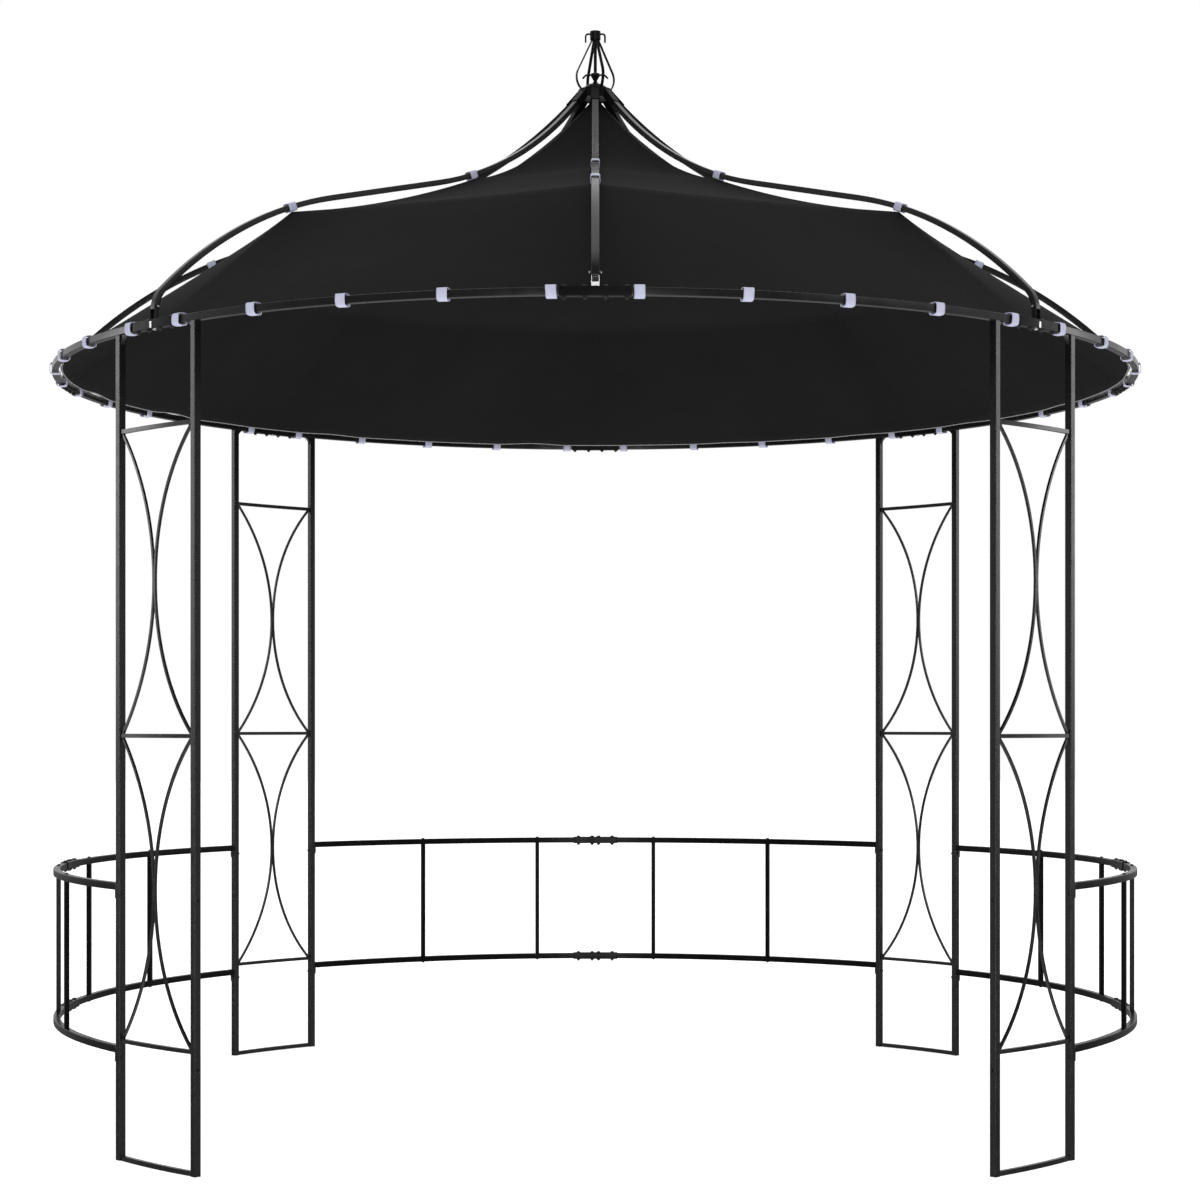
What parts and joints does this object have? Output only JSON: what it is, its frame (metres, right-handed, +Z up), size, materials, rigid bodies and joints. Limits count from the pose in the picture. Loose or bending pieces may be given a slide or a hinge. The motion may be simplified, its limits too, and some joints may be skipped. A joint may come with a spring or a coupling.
{
  "type": "garden pavilion",
  "caption": "Round open garden pavilion: ladder columns with bent bars carry a ring of square tube, curved roof ribs, a fabric canopy on straps, low railings and a finial.",
  "frame": {"origin": "on the ground under the hub, at the centre of the ring", "axes": "+Z up, -Y towards the open front, +X to the right of someone looking in from the front"},
  "size_m": [3.0064, 3.0064, 3.0225],
  "materials": {
    "frame_paint": "satin anthracite powder coat",
    "canopy_fabric": "matte woven",
    "strap_webbing": "matte woven"
  },
  "bodies": {
    "root": {"balusters_back": "frame_paint", "balusters_left": "frame_paint", "balusters_right": "frame_paint", "bottom_rail_back": "frame_paint", "bottom_rail_left": "frame_paint", "bottom_rail_right": "frame_paint", "canopy_gore_1": "canopy_fabric", "canopy_gore_2": "canopy_fabric", "canopy_gore_3": "canopy_fabric", "canopy_gore_4": "canopy_fabric", "canopy_gore_5": "canopy_fabric", "canopy_gore_6": "canopy_fabric", "canopy_gore_7": "canopy_fabric", "canopy_gore_8": "canopy_fabric", "column_back_left": "frame_paint", "column_back_right": "frame_paint", "column_front_left": "frame_paint", "column_front_right": "frame_paint", "finial_cage": "frame_paint", "finial_cap": "frame_paint", "finial_stem": "frame_paint", "hub": "frame_paint", "rail_brackets": "frame_paint", "rail_sleeves": "frame_paint", "rib_back": "frame_paint", "rib_back_left": "frame_paint", "rib_back_right": "frame_paint", "rib_front": "frame_paint", "rib_front_left": "frame_paint", "rib_front_right": "frame_paint", "rib_left": "frame_paint", "rib_right": "frame_paint", "rib_straps": "strap_webbing", "ring_segment_1": "frame_paint", "ring_segment_2": "frame_paint", "ring_segment_3": "frame_paint", "ring_segment_4": "frame_paint", "ring_segment_5": "frame_paint", "ring_segment_6": "frame_paint", "ring_segment_7": "frame_paint", "ring_segment_8": "frame_paint", "ring_sleeves": "frame_paint", "ring_straps": "strap_webbing", "top_rail_back": "frame_paint", "top_rail_left": "frame_paint", "top_rail_right": "frame_paint"}
  },
  "joints": []
}
